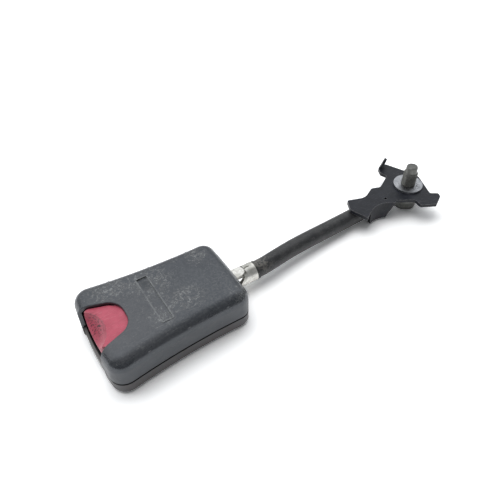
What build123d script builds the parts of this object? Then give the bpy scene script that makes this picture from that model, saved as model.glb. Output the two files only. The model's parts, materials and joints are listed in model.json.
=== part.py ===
"""Seat belt buckle on a cable stalk, with its anchor plate and anchor bolt.

Millimetres.  The origin is on the anchor bolt's axis, level with the upper face of its
captive washer, where the vehicle's anchorage seats.  +Z runs up the bolt, and +X runs
from the buckle's mouth towards the bolt.  Heights are given from the surface that the
part lies on, and up() turns them into Z.
"""
from build123d import *
import math
import os

# --- driving dimensions -------------------------------------------------------------
REST_Z = -17.6  # the surface that the case and the bolt's head lie on

# Case
AXIS_Y = -6.5  # centre line of the case
FRONT_X = -246.5
FRONT_BOW = 3.0
REAR_X = -155.8
REAR_BOW = 0.8
WAIST_X = -200.0
HALF_FRONT = 33.0
HALF_WAIST = 27.9
HALF_REAR = 27.1
FRONT_CORNER = 9.0
REAR_CORNER = 8.0
CASE_TOP = 27.7
TOP_ROUND = 7.5
BOTTOM_ROUND = 3.5
SEAM = 9.5
SEAM_GAP = 0.55
WALL = 2.2
ROOF = 1.8
FLOOR = 2.0
LIP_STEP = 1.15  # outer share of the wall at the lapped seam
LIP_HEIGHT = 1.4
LIP_CLEARANCE = 0.15

# Mouth: an arch in the upper cover that shows the button, open to the front
MOUTH_BACK_X = -223.2
MOUTH_HALF_FRONT = 17.3
MOUTH_HALF_BACK = 9.6
MOUTH_CORNER = 10.5
MOUTH_RIM_ROUND = 0.6
MOUTH_SILL = 0.8  # the lower cover's front stands back below the mouth
REAR_DOOR_HALF = 8.5
REAR_DOOR_LOW = 3.8
REAR_DOOR_HIGH = 18.2

# Latch frame
SHEET = 2.5
FRAME_LOW = 6.8
FRAME_HALF = 18.0
FRAME_FRONT_X = -240.0
FRAME_REAR_X = -166.0
FRAME_TOP = 21.0
FRAME_DECK = FRAME_LOW + SHEET  # the face that the tongue slides on
SIDE_WALL_FRONT_X = -224.0
PIVOT_X = -186.0
PIVOT_HEIGHT = 17.5
PIVOT_RADIUS = 2.0
RUNNING = 0.08  # radial clearance of a running fit
STRAP_HALF = 3.5
STRAP_LOW = 14.0
STRAP_HIGH = 17.0
STRAP_END_X = -145.7
EYE_X = -161.0
EYE_HEIGHT = FRAME_LOW + SHEET / 2
EYE_RADIUS = 3.4
EYE_HALF = 3.2
EYE_PIN_RADIUS = 2.0

# Button, lock and ejector
BUTTON_FRONT_INSET = 3.0
BUTTON_GAP = 0.45
BUTTON_LOW = 15.2
BUTTON_TOP = 25.6
ARM_INNER = 11.5
ARM_OUTER = 14.5
ARM_HIGH = 18.7
ARM_END_X = -206.3
LOCK_FRONT_X = -206.0
LOCK_REAR_X = -190.0
LOCK_LOW = 21.2
LOCK_HIGH = 23.2
BUTTON_SPRING_Y = 11.5
BUTTON_SPRING_HEIGHT = 22.5
REAR_EAR_TOP = 24.9
PAWL_HALF = 7.0
NOSE_X = -213.0
NOSE_HALF = 3.6
NOSE_THICKNESS = 3.2
NOSE_LOW = 14.6
EJECTOR_FRONT_X = -222.0
EJECTOR_BAR_X = -204.0
EJECTOR_REAR_X = -198.0
EJECTOR_THICKNESS = 2.6
EJECTOR_SPRING_HEIGHT = 11.6
SPRING_RADIUS = 1.55  # to the middle of the wire
SPRING_WIRE = 0.38
COIL_STEPS = 12  # straight steps of wire in a turn

# Cable
ROPE_RADIUS = 3.9
SHEATH_RADIUS = 5.65
FERRULE_RADIUS = 6.3
FERRULE_END_X = -138.4
FERRULE_MOUTH_X = -145.2
FERRULE_HEIGHT = 11.0
CABLE_POINTS = [
    (-145.5, -6.5, 11.0),
    (-131.5, -6.5, 11.0),
    (-104.0, -2.2, 10.1),
    (-73.0, 0.4, 8.1),
    (-46.0, 2.4, 7.0),
    (-27.0, 2.9, 7.0),
]
SHEATH_START_X = FERRULE_END_X + 0.1
SHEATH_END_X = -42.6

# Anchor end
PLATE_TOP = 16.0
PLATE_SHEET = 2.5
WASHER_RADIUS = 10.4
WASHER_THICKNESS = 1.5
THREAD_RADIUS = 5.0
THREAD_LENGTH = 10.0
NECK_RADIUS = 4.6
DOG_RADIUS = 3.95
DOG_LENGTH = 5.4
HEX_ACROSS_FLATS = 17.0
FLANGE_RADIUS = 11.4
HEAD_HEIGHT = 9.5
HEX_HEIGHT = 7.4
BUSH_RADIUS = 5.9
LUG_THICKNESS = 3.5


def up(height):
    """Z of a height above the surface that the part lies on."""
    return REST_Z + height


def slab(x0, x1, y0, y1, low, high):
    """A block between two X, two Y from the case's centre line, and two heights."""
    return Pos((x0 + x1) / 2, AXIS_Y + (y0 + y1) / 2, up((low + high) / 2)) * Box(
        x1 - x0, y1 - y0, high - low
    )


def cross_rod(x, height, radius, half):
    """A round bar across the case's centre line."""
    return Pos(x, AXIS_Y, up(height)) * Rot(90, 0, 0) * Cylinder(radius, 2 * half)


def both_sides(shape):
    """The shape and its mirror image across the case's centre line."""
    return [shape, mirror(shape, about=Plane((0, AXIS_Y, 0), z_dir=(0, 1, 0)))]


# --- case ---------------------------------------------------------------------------
def case_plan(inset=0.0):
    """Plan of the case: a bowed front, sides that flare towards it, rounded corners."""
    front_x = FRONT_X + FRONT_BOW + inset
    rear_x = REAR_X - inset
    front = HALF_FRONT - inset
    waist = HALF_WAIST - inset
    rear = HALF_REAR - inset
    with BuildSketch() as plan:
        with BuildLine():
            ThreePointArc((front_x, -front), (FRONT_X + inset, 0), (front_x, front))
            ThreePointArc((front_x, front), (WAIST_X, waist), (rear_x, rear))
            ThreePointArc((rear_x, rear), (rear_x + REAR_BOW, 0), (rear_x, -rear))
            ThreePointArc((rear_x, -rear), (WAIST_X, -waist), (front_x, -front))
        make_face()
        fillet(plan.vertices().group_by(Axis.X)[0], FRONT_CORNER - inset)
        fillet(plan.vertices().group_by(Axis.X)[-1], REAR_CORNER - inset)
    return plan.sketch


def case_block(inset, low, high, top_round=0.0, bottom_round=0.0, top_bevel=0.0):
    """The case's plan as a solid between two heights, with rounded or bevelled rims."""
    block = extrude(Pos(0, AXIS_Y, up(low)) * case_plan(inset), high - low)
    if top_round:
        block = fillet(block.faces().sort_by(Axis.Z)[-1].edges(), top_round)
    if top_bevel:
        block = chamfer(block.faces().sort_by(Axis.Z)[-1].edges(), top_bevel)
    if bottom_round:
        block = fillet(block.faces().sort_by(Axis.Z)[0].edges(), bottom_round)
    return block


def mouth_plan(inset=0.0):
    """Plan of the arch that the button fills, running out past the front."""
    front_x = FRONT_X - 4.0
    slope = (MOUTH_HALF_FRONT - MOUTH_HALF_BACK) / (MOUTH_BACK_X - FRONT_X)
    half_front = MOUTH_HALF_FRONT + 4.0 * slope
    with BuildSketch() as plan:
        with BuildLine():
            Polyline(
                (front_x, -half_front),
                (MOUTH_BACK_X, -MOUTH_HALF_BACK),
                (MOUTH_BACK_X, MOUTH_HALF_BACK),
                (front_x, half_front),
                close=True,
            )
        make_face()
        fillet(plan.vertices().group_by(Axis.X)[-1], MOUTH_CORNER)
        if inset:
            offset(amount=-inset, mode=Mode.REPLACE)
    return plan.sketch


def mouth_block(inset, low, high):
    """The arch as a solid between two heights."""
    return extrude(Pos(0, AXIS_Y, up(low)) * mouth_plan(inset), high - low)


def half_width(x):
    """Half the case's width at X, on the arc through its three driving widths."""
    near, mid, far = (FRONT_X + FRONT_BOW, WAIST_X, REAR_X)
    a = (x - mid) * (x - far) / ((near - mid) * (near - far))
    b = (x - near) * (x - far) / ((mid - near) * (mid - far))
    c = (x - near) * (x - mid) / ((far - near) * (far - mid))
    return a * HALF_FRONT + b * HALF_WAIST + c * HALF_REAR


HOOK_PLACES = (-228.0, -172.0)
HOOK_LENGTH = 7.0
HOOK_GAP = 0.3
HOOK_BEAM = 1.5
HOOK_BARB = 0.8  # how far the barb reaches into the upper cover's wall
HOOK_BARB_LOW = 13.6
HOOK_TOP = 16.6
RIB_INNER = 18.4
RIB_OUTER = 20.0


def hook_face(x):
    """Outer face of a hook's beam, clear of the wall that narrows behind it."""
    return half_width(x + HOOK_LENGTH / 2) - WALL - HOOK_GAP


def hook_barb(x, clearance=0.0):
    """A snap hook's barb, grown by a clearance to cut its pocket."""
    half = HOOK_LENGTH / 2 + clearance
    outer = half_width(x) - WALL + HOOK_BARB + clearance
    barb = slab(
        x - half, x + half, hook_face(x) - HOOK_BEAM, outer,
        HOOK_BARB_LOW - clearance, HOOK_TOP + clearance,
    )
    outer_edges = barb.edges().filter_by(Axis.X).sort_by(Axis.Y)[-2:]
    return chamfer(outer_edges.sort_by(Axis.Z)[-1], 0.9)


def snap_hook(x):
    """A snap hook: a beam up from the lower cover's floor and its barb."""
    face = hook_face(x)
    half = HOOK_LENGTH / 2
    return slab(x - half, x + half, face - HOOK_BEAM, face, FLOOR - 0.2, HOOK_TOP) + hook_barb(x)


def mouth_rim(cover):
    """Outer edges of the mouth, from the seam up over the arch."""
    outline = mouth_plan().wires()[0]
    within = case_block(0.3, SEAM - 5.0, CASE_TOP - 0.3, top_round=TOP_ROUND - 0.3)
    rim = []
    for edge in cover.edges():
        points = [edge @ 0.2, edge @ 0.5]
        on_outline = all(
            outline.distance_to(Vertex(point.X, point.Y - AXIS_Y, 0)) < 0.02 for point in points
        )
        outside = not any(within.is_inside(point) for point in points)
        if on_outline and outside and points[1].Z > up(SEAM + 1.0):
            rim.append(edge)
    return rim


def upper_cover():
    """Upper shell: the mouth, the rear door, the panel recess, ribs and hook pockets."""
    low = SEAM + SEAM_GAP / 2
    cover = case_block(0.0, low, CASE_TOP, top_round=TOP_ROUND)
    cover -= case_block(WALL, low - 1.0, CASE_TOP - ROOF, top_bevel=0.58 * (TOP_ROUND - WALL))
    cover -= case_block(LIP_STEP, low - 1.0, low + LIP_HEIGHT)
    cover -= mouth_block(0.0, low - 1.0, CASE_TOP + 1.0)
    cover = fillet(mouth_rim(cover), MOUTH_RIM_ROUND)
    for x in (-222.0, -197.0, -172.0):
        for gusset in both_sides(slab(x - 0.7, x + 0.7, RIB_OUTER - 0.2, half_width(x) - 1.0, 15.0, 24.5)):
            cover += gusset & case_block(1.0, 15.0, 24.5)
    for rib in both_sides(slab(-224.0, -170.0, RIB_INNER, RIB_OUTER, 12.0, CASE_TOP - ROOF + 0.2)):
        cover += rib
    for x in HOOK_PLACES:
        for pocket in both_sides(hook_barb(x, clearance=0.2)):
            cover -= pocket
    door = slab(REAR_X - 6.0, REAR_X + 4.0, -REAR_DOOR_HALF, REAR_DOOR_HALF, low - 2.0, REAR_DOOR_HIGH)
    cover -= fillet(door.edges().filter_by(Axis.X), 1.8)
    return panel_recess(cover)


PANEL_X = -205.4
PANEL_WIDTH = 6.4
PANEL_LENGTH = 35.5
PANEL_DEPTH = 0.5
PANEL_RIM = 0.6
PANEL_RIM_HEIGHT = 0.3


def panel_recess(cover):
    """A long shallow recess across the roof, inside a low raised rim."""
    centre = Pos(PANEL_X, AXIS_Y, up(CASE_TOP))
    outer = RectangleRounded(PANEL_WIDTH + 2 * PANEL_RIM, PANEL_LENGTH + 2 * PANEL_RIM, 1.2)
    inner = RectangleRounded(PANEL_WIDTH, PANEL_LENGTH, 0.7)
    rim = extrude(centre * (outer - inner), PANEL_RIM_HEIGHT)
    recess = extrude(centre * inner, -PANEL_DEPTH)
    return cover + rim - recess


def lower_cover():
    """Lower shell: the lapped rim, frame supports, snap hooks and the rear door."""
    high = SEAM - SEAM_GAP / 2
    cover = case_block(0.0, 0.0, high, bottom_round=BOTTOM_ROUND)
    skin = slab(FRONT_X - 2.0, FRONT_X + 6.0, -MOUTH_HALF_FRONT, MOUTH_HALF_FRONT, -1.0, high + 1.0)
    cover -= skin - case_block(MOUTH_SILL, 0.0, high + 1.0, bottom_round=BOTTOM_ROUND - MOUTH_SILL)
    rim_top = SEAM + SEAM_GAP / 2 + LIP_HEIGHT
    rim = case_block(LIP_STEP + LIP_CLEARANCE, high - 0.5, rim_top)
    rim -= slab(FRONT_X - 2.0, FRONT_X + 12.0, -MOUTH_HALF_FRONT - 1.2, MOUTH_HALF_FRONT + 1.2, high, 12.0)
    cover += rim
    cover -= case_block(WALL, FLOOR, rim_top + 1.0)
    for x in (-236.0, -220.0, -198.0, -176.0):
        cover += slab(x - 0.8, x + 0.8, -21.0, 21.0, FLOOR - 0.2, FRAME_LOW)
    for rib in both_sides(slab(-238.0, -168.0, 11.2, 12.8, FLOOR - 0.2, FRAME_LOW)):
        cover += rib
    for x in (-230.0, -176.0):
        for stop in both_sides(slab(x - 4.0, x + 4.0, FRAME_HALF + 0.1, FRAME_HALF + 1.7, FLOOR - 0.2, 9.0)):
            cover += stop
    for x in HOOK_PLACES:
        for hook in both_sides(snap_hook(x)):
            cover += hook
    door = slab(REAR_X - 6.0, REAR_X + 4.0, -REAR_DOOR_HALF, REAR_DOOR_HALF, REAR_DOOR_LOW, 12.0)
    cover -= fillet(door.edges().filter_by(Axis.X), 1.8)
    return cover


# --- latch --------------------------------------------------------------------------
def latch_frame():
    """Folded steel channel: deck, side walls, rear wall, cable eye and rear strap."""
    deck = slab(FRAME_FRONT_X, FRAME_REAR_X, -FRAME_HALF, FRAME_HALF, FRAME_LOW, FRAME_DECK)
    deck = chamfer(deck.edges().filter_by(Axis.Z).group_by(Axis.X)[0], 4.0)
    frame = deck
    for wall in both_sides(
        slab(SIDE_WALL_FRONT_X, FRAME_REAR_X, FRAME_HALF - SHEET, FRAME_HALF, FRAME_LOW, FRAME_TOP)
    ):
        wall = fillet(wall.edges().filter_by(Axis.Y).group_by(Axis.X)[0].sort_by(Axis.Z)[-1], 6.0)
        frame += wall
    frame += slab(FRAME_REAR_X - SHEET, FRAME_REAR_X, -FRAME_HALF, FRAME_HALF, FRAME_LOW, 19.0)
    for ear in both_sides(slab(FRAME_REAR_X - SHEET, FRAME_REAR_X, 9.3, 13.7, 18.0, REAR_EAR_TOP)):
        frame += ear
    frame = fillet(frame.edges().filter_by(Axis.X).group_by(Axis.Z)[0], 1.8)
    strap = slab(FRAME_REAR_X - 1.0, STRAP_END_X, -STRAP_HALF, STRAP_HALF, STRAP_LOW, STRAP_HIGH)
    strap = fillet(strap.edges().filter_by(Axis.Z).group_by(Axis.X)[-1], STRAP_HALF - 0.1)
    frame += strap
    frame += slab(FRAME_REAR_X - 1.0, EYE_X, -EYE_HALF, EYE_HALF, FRAME_LOW, FRAME_DECK)
    frame += cross_rod(EYE_X, EYE_HEIGHT, EYE_RADIUS, EYE_HALF)
    frame -= cross_rod(EYE_X, EYE_HEIGHT, EYE_PIN_RADIUS, EYE_HALF + 1)
    frame -= cross_rod(PIVOT_X, PIVOT_HEIGHT, PIVOT_RADIUS, FRAME_HALF + 1)
    frame -= slab(-215.5, -206.5, -5.0, 5.0, FRAME_LOW - 1, FRAME_DECK + 1)
    frame -= slab(-200.0, -178.0, -2.6, 2.6, FRAME_LOW - 1, FRAME_DECK + 1)
    for window in both_sides(slab(-212.0, -196.0, 15.0, 19.0, 12.0, 16.5)):
        frame -= window
    return frame


def mouth_guide():
    """Plastic liner that centres the tongue in the mouth."""
    guide = slab(-242.2, FRAME_FRONT_X - 0.1, -15.3, 15.3, FRAME_LOW, FRAME_DECK)
    for cheek in both_sides(slab(-242.2, -226.0, 13.2, 15.3, FRAME_DECK, 14.9)):
        cheek = chamfer(cheek.edges().filter_by(Axis.Z).group_by(Axis.X)[0], 1.0)
        guide += cheek
    return guide & case_block(WALL + 0.1, FRAME_LOW, 15.0)


SCOOP_RADIUS = 18.2
SCOOP_X = -252.9
SCOOP_HEIGHT = 31.7


def release_button():
    """Button: an arched cap with a thumb scoop, a tail under the roof and two arms."""
    cap = mouth_block(BUTTON_GAP, BUTTON_LOW, BUTTON_TOP)
    cap &= case_block(BUTTON_FRONT_INSET, BUTTON_LOW, BUTTON_TOP)
    nose_edges = cap.edges().filter_by(Axis.Z).group_by(Axis.X)[0]
    cap = fillet(nose_edges, 3.0)
    tail = slab(-228.0, -214.5, -9.0, 9.0, BUTTON_TOP - 2.6, BUTTON_TOP)
    cap += fillet(tail.edges().filter_by(Axis.Z).group_by(Axis.X)[-1], 3.0)
    cap -= Pos(SCOOP_X, AXIS_Y, up(SCOOP_HEIGHT)) * Sphere(SCOOP_RADIUS)
    hollow = slab(-234.5, -225.5, -7.5, 7.5, BUTTON_LOW - 1, BUTTON_TOP - 2.4)
    cap -= fillet(hollow.edges().filter_by(Axis.Z), 2.0)
    for arm in both_sides(slab(-240.0, ARM_END_X, ARM_INNER, ARM_OUTER, BUTTON_LOW, ARM_HIGH)):
        cap += chamfer(arm.edges().filter_by(Axis.Y).group_by(Axis.X)[-1], 0.6)
    return cap


def lock_slider():
    """Plate that slides back with the button and, latched, holds the pawl down."""
    plate = slab(LOCK_FRONT_X, LOCK_REAR_X, -17.8, 17.8, LOCK_LOW, LOCK_HIGH)
    plate -= slab(-201.0, -195.0, -6.0, 6.0, LOCK_LOW - 1, LOCK_HIGH + 1)
    for lug in both_sides(slab(LOCK_FRONT_X, LOCK_FRONT_X + 3.0, ARM_INNER, 15.2, 16.0, LOCK_LOW + 0.1)):
        plate += lug
    for seat in both_sides(spring_pin(LOCK_REAR_X - 0.5, LOCK_REAR_X + 3.0, BUTTON_SPRING_Y, BUTTON_SPRING_HEIGHT)):
        plate += seat
    return plate


def spring_pin(x0, x1, y, height):
    """Short pin along X that a spring's end sits on."""
    return Pos((x0 + x1) / 2, AXIS_Y + y, up(height)) * Rot(0, 90, 0) * Cylinder(0.9, x1 - x0)


def wire_coil(length, turns, radius):
    """Square wire wound in short straight steps round Z."""
    steps = turns * COIL_STEPS
    points = []
    for step in range(steps + 1):
        angle = 2 * math.pi * step / COIL_STEPS
        points.append((radius * math.cos(angle), radius * math.sin(angle), length * step / steps))
    path = Polyline(*points)
    profile = Plane(origin=path @ 0, z_dir=path % 0) * RegularPolygon(SPRING_WIRE, 4)
    return sweep(profile, path=path, transition=Transition.RIGHT)


def coil_spring(x0, x1, y, height, turns):
    """Compression spring along X between two seats."""
    coil = wire_coil(x1 - x0 - 2 * SPRING_WIRE, turns, SPRING_RADIUS)
    return Pos(x0 + SPRING_WIRE, AXIS_Y + y, up(height)) * Rot(0, 90, 0) * coil


def button_springs():
    """The two springs that return the lock slider and the button."""
    rear_x = FRAME_REAR_X - SHEET
    coils = []
    for side in (-1, 1):
        coils.append(coil_spring(LOCK_REAR_X, rear_x, side * BUTTON_SPRING_Y, BUTTON_SPRING_HEIGHT, 5))
    return Compound(children=coils)


def latch_pawl():
    """Latch: a hub on the pivot pin, an arm, and a nose that drops through the tongue."""
    arm = slab(NOSE_X, PIVOT_X, -PAWL_HALF, PAWL_HALF, 18.3, 20.8)
    arm -= slab(-206.0, -196.0, 4.6, PAWL_HALF + 1, 17.0, 22.0)
    arm -= slab(-206.0, -196.0, -PAWL_HALF - 1, -4.6, 17.0, 22.0)
    nose = slab(NOSE_X, NOSE_X + NOSE_THICKNESS, -NOSE_HALF, NOSE_HALF, NOSE_LOW, 20.8)
    nose = chamfer(nose.edges().filter_by(Axis.Y).group_by(Axis.X)[0].sort_by(Axis.Z)[0], 1.4)
    pawl = arm + nose + cross_rod(PIVOT_X, PIVOT_HEIGHT, 3.5, PAWL_HALF)
    return pawl - cross_rod(PIVOT_X, PIVOT_HEIGHT, PIVOT_RADIUS + RUNNING, PAWL_HALF + 1)


def pawl_pin():
    """Pivot pin with a riveted head outside each side wall."""
    pin = cross_rod(PIVOT_X, PIVOT_HEIGHT, PIVOT_RADIUS, FRAME_HALF)
    for head in both_sides(
        Pos(PIVOT_X, AXIS_Y + FRAME_HALF + 0.15, up(PIVOT_HEIGHT)) * Rot(90, 0, 0) * Cylinder(2.8, 0.3)
    ):
        pin += head
    return pin


def pawl_spring():
    """Torsion spring round the pivot pin that lifts the pawl."""
    return Pos(PIVOT_X, AXIS_Y - 8.2, up(PIVOT_HEIGHT)) * Rot(90, 0, 0) * wire_coil(4.8, 5, 2.5)


def ejector():
    """Forked slide that the tongue pushes back and that pushes the tongue out."""
    low = FRAME_DECK + 0.15
    high = low + EJECTOR_THICKNESS
    body = slab(EJECTOR_BAR_X, EJECTOR_REAR_X, -15.2, 15.2, low, high)
    for prong in both_sides(slab(EJECTOR_FRONT_X, EJECTOR_BAR_X, 4.3, 10.5, low, high)):
        body += chamfer(prong.edges().filter_by(Axis.Z).group_by(Axis.X)[0], 0.8)
    body += slab(EJECTOR_REAR_X - 4.0, EJECTOR_REAR_X, -3.2, 3.2, low, 13.4)
    body += spring_pin(EJECTOR_REAR_X - 0.5, EJECTOR_REAR_X + 3.0, 0.0, EJECTOR_SPRING_HEIGHT)
    return body


def ejector_spring():
    """Spring that pushes the ejector towards the mouth."""
    return coil_spring(EJECTOR_REAR_X, FRAME_REAR_X - SHEET, 0.0, EJECTOR_SPRING_HEIGHT, 7)


# --- cable --------------------------------------------------------------------------
def cable_yoke():
    """Crimped ferrule: its mouth slants back into two cheeks with eyes on the frame."""
    outer_half = FERRULE_RADIUS
    inner_half = 3.9
    centre = FERRULE_HEIGHT
    with BuildSketch(Plane.XZ) as side:
        with BuildLine():
            Polyline(
                (FERRULE_END_X, up(centre - FERRULE_RADIUS)),
                (-144.5, up(centre - FERRULE_RADIUS)),
                (-149.5, up(6.6)),
                (EYE_X, up(EYE_HEIGHT - 2.0)),
                (EYE_X, up(EYE_HEIGHT + 2.0)),
                (-153.0, up(10.6)),
                (-150.2, up(12.4)),
                (-147.4, up(15.4)),
                (-144.2, up(centre + FERRULE_RADIUS)),
                (FERRULE_END_X, up(centre + FERRULE_RADIUS)),
                close=True,
            )
        make_face()
    yoke = Pos(0, AXIS_Y + outer_half, 0) * extrude(side.sketch, 2 * outer_half)
    round_x = (-151.0, FERRULE_END_X)
    envelope = Pos(sum(round_x) / 2, AXIS_Y, up(centre)) * Rot(0, 90, 0) * Cylinder(
        FERRULE_RADIUS, round_x[1] - round_x[0]
    )
    envelope += slab(EYE_X - 1.0, round_x[0] + 0.5, -outer_half, outer_half, 0.0, 13.0)
    yoke &= envelope
    yoke += cross_rod(EYE_X, EYE_HEIGHT, EYE_RADIUS, outer_half)
    yoke -= slab(EYE_X - 6.0, FERRULE_MOUTH_X, -inner_half, inner_half, 0.0, 22.0)
    yoke -= slab(FERRULE_MOUTH_X - 1.0, FERRULE_MOUTH_X + 3.6, 0.0, 0.8, centre + 5.0, 22.0)
    yoke -= Pos(-142.0, AXIS_Y, up(centre)) * Rot(0, 90, 0) * Cylinder(ROPE_RADIUS, 9.0)
    yoke -= cross_rod(EYE_X, EYE_HEIGHT, EYE_PIN_RADIUS, outer_half + 1)
    return yoke


def yoke_pin():
    """Riveted pin through the yoke's cheeks and the frame's eye."""
    pin = cross_rod(EYE_X, EYE_HEIGHT, EYE_PIN_RADIUS, FERRULE_RADIUS)
    for head in both_sides(
        Pos(EYE_X, AXIS_Y + FERRULE_RADIUS + 0.4, up(EYE_HEIGHT)) * Rot(90, 0, 0) * Cylinder(3.0, 0.8)
    ):
        pin += head
    return pin


def cable_path():
    """The cable's centre line: straight runs joined by the largest tangent arcs."""
    points = [Vector(x, y, up(height)) for x, y, height in CABLE_POINTS]
    radii = []
    for before, corner, after in zip(points, points[1:], points[2:]):
        turn = math.radians((corner - before).get_angle(after - corner))
        shorter = min((corner - before).length, (after - corner).length)
        radii.append(0.45 * shorter / math.tan(turn / 2))
    return FilletPolyline(*points, radius=radii), radii


def cable_tube(outer, inner=0.0):
    """A round tube along the cable's whole centre line."""
    path, _ = cable_path()
    start = Plane(origin=path @ 0, z_dir=path % 0)
    tube = sweep(start * Circle(outer), path=path)
    if inner:
        tube -= sweep(start * Circle(inner), path=path)
    return tube


def between(x0, x1):
    """Everything between two planes across X."""
    return Pos((x0 + x1) / 2, 0, 0) * Box(x1 - x0, 200, 200)


def wire_rope():
    """The steel rope, from inside the ferrule to inside the terminal."""
    return cable_tube(ROPE_RADIUS) & between(FERRULE_MOUTH_X + 0.2, -30.0)


def cable_sheath():
    """Plastic tube over the rope between the ferrule and the terminal."""
    return cable_tube(SHEATH_RADIUS, ROPE_RADIUS) & between(SHEATH_START_X, SHEATH_END_X)


def sheath_collar():
    """Sealing ring where the sheath meets the ferrule."""
    ring = Cylinder(SHEATH_RADIUS + 0.45, 2.0) - Cylinder(SHEATH_RADIUS + 0.03, 2.0)
    return Pos(SHEATH_START_X + 1.0, AXIS_Y, up(FERRULE_HEIGHT)) * Rot(0, 90, 0) * ring


# --- anchor -------------------------------------------------------------------------
BARREL_RADIUS = 4.95
BARREL_X0 = -42.5
BARREL_X1 = -25.0
BARREL_Y = 2.8
BARREL_HEIGHT = 7.0


def cable_terminal():
    """Swaged barrel on the rope, flattened and cranked up to a lug round the bolt."""
    length = BARREL_X1 - BARREL_X0
    place = Pos((BARREL_X0 + BARREL_X1) / 2, BARREL_Y, up(BARREL_HEIGHT)) * Rot(0, 90, 0)
    barrel = place * Cylinder(BARREL_RADIUS, length)
    high = PLATE_TOP - PLATE_SHEET
    low = high - LUG_THICKNESS
    with BuildSketch(Plane.XZ) as side:
        with BuildLine():
            Polyline(
                (BARREL_X1 - 3.0, up(3.6)),
                (BARREL_X1 + 1.0, up(3.6)),
                (-13.5, up(low)),
                (0, up(low)),
                (0, up(high)),
                (-16.0, up(high)),
                (BARREL_X1 - 1.0, up(11.2)),
                (BARREL_X1 - 3.0, up(11.2)),
                close=True,
            )
        make_face()
    neck = Pos(0, BARREL_Y + 4.2, 0) * extrude(side.sketch, 8.4)
    lug = Pos(0, 0, up((low + high) / 2)) * Cylinder(9.4, LUG_THICKNESS)
    terminal = barrel + neck + lug
    terminal -= cable_tube(ROPE_RADIUS) & between(-60.0, -30.0)
    return terminal - Pos(0, 0, up(12)) * Cylinder(BUSH_RADIUS, 12)


FLANGE_CENTRE = (-32.8, -20.8)
FLANGE_FACE = 15.6
FLANGE_LOW = 2.0
PLATE_CORNERS = [  # x, y, corner radius
    (3.9, 27.0, 1.5),
    (1.2, 29.6, 1.0),
    (-4.4, 26.8, 2.8),
    (-6.9, 21.4, 2.2),
    (-5.0, 16.4, 1.6),
    (-18.4, 9.0, 2.6),
    (-24.8, 11.4, 2.8),
    (-35.2, 6.0, 9.0),
    (-48.3, 10.4, 1.4),
    (-52.8, 1.4, 5.0),
    (-48.0, -11.6, 1.4),
    (-42.2, -8.0, 0.0),
    (-21.5, -9.9, 0.0),
    (-18.6, -8.2, 2.0),
    (-7.0, -14.8, 2.2),
    (-7.6, -21.2, 1.2),
    (2.8, -26.4, 1.2),
    (10.7, -21.9, 1.0),
    (12.4, -18.6, 1.5),
    (7.2, -15.4, 1.6),
    (14.6, 4.6, 9.0),
]
HOOK_BASE = (-1.7, 27.4)
HOOK_HEADING = 35.0
HOOK_LEAN = 16.0


def anchor_plate():
    """Stamped bracket: bolt body, wing over the cable, tab, end hook and side flange."""
    low = PLATE_TOP - PLATE_SHEET
    points = [(x, y) for x, y, _ in PLATE_CORNERS]
    radii = [radius for _, _, radius in PLATE_CORNERS]
    with BuildSketch() as outline:
        with BuildLine():
            FilletPolyline(*points, radius=radii, close=True)
        make_face()
    plate = extrude(Pos(0, 0, up(low)) * outline.sketch, PLATE_SHEET)
    plate -= Pos(*FLANGE_CENTRE, up(low)) * Cylinder(FLANGE_FACE, 12)
    plate += side_flange(low)
    plate += end_hook(low)
    plate -= Pos(0, 0, up(PLATE_TOP)) * Cylinder(BUSH_RADIUS, 12)
    plate -= Pos(-23.8, -2.6, up(PLATE_TOP)) * Cylinder(1.0, 12)
    return plate


def side_flange(low):
    """Curved flange turned down beside the cable's terminal, narrower at its foot."""
    height = low + 1.2 - FLANGE_LOW
    middle = up(FLANGE_LOW + height / 2)
    ring = Pos(*FLANGE_CENTRE, middle) * (
        Cylinder(FLANGE_FACE + PLATE_SHEET, height) - Cylinder(FLANGE_FACE, height)
    )
    with BuildSketch(Plane.XZ) as front:
        with BuildLine():
            Polyline(
                (-41.1, up(low + 2.0)),
                (-21.2, up(low + 2.0)),
                (-25.0, up(FLANGE_LOW)),
                (-39.0, up(FLANGE_LOW)),
                close=True,
            )
        make_face()
    wedge = Pos(0, 20, 0) * extrude(front.sketch, 32.0)
    return ring & wedge


def end_hook(low):
    """Narrow hook turned up at the end of the long arm, leaning over the plate."""
    finger = Pos(0, 0, 4.9) * Box(5.6, 1.9, 9.8)
    finger = fillet(finger.edges().filter_by(Axis.Y).group_by(Axis.Z)[-1], 2.2)
    place = Pos(*HOOK_BASE, up(low + 0.6)) * Rot(0, 0, HOOK_HEADING) * Rot(HOOK_LEAN, 0, 0)
    return place * finger


def spacer_bush():
    """Bush that keeps the bolt free to turn in the lug and the plate."""
    low = PLATE_TOP - PLATE_SHEET - LUG_THICKNESS
    height = PLATE_TOP - low
    tube = Cylinder(BUSH_RADIUS, height) - Cylinder(NECK_RADIUS + RUNNING, height)
    return Pos(0, 0, up(low + height / 2)) * tube


def retaining_washer():
    """Washer held on the bolt's neck by the thread above it."""
    ring = Cylinder(WASHER_RADIUS, WASHER_THICKNESS) - Cylinder(NECK_RADIUS, WASHER_THICKNESS)
    bore_rim = ring.edges().group_by(Axis.Z)[-1].sort_by(SortBy.RADIUS)[0]
    ring = chamfer(bore_rim, 0.5)
    return Pos(0, 0, -WASHER_THICKNESS / 2) * ring


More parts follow.
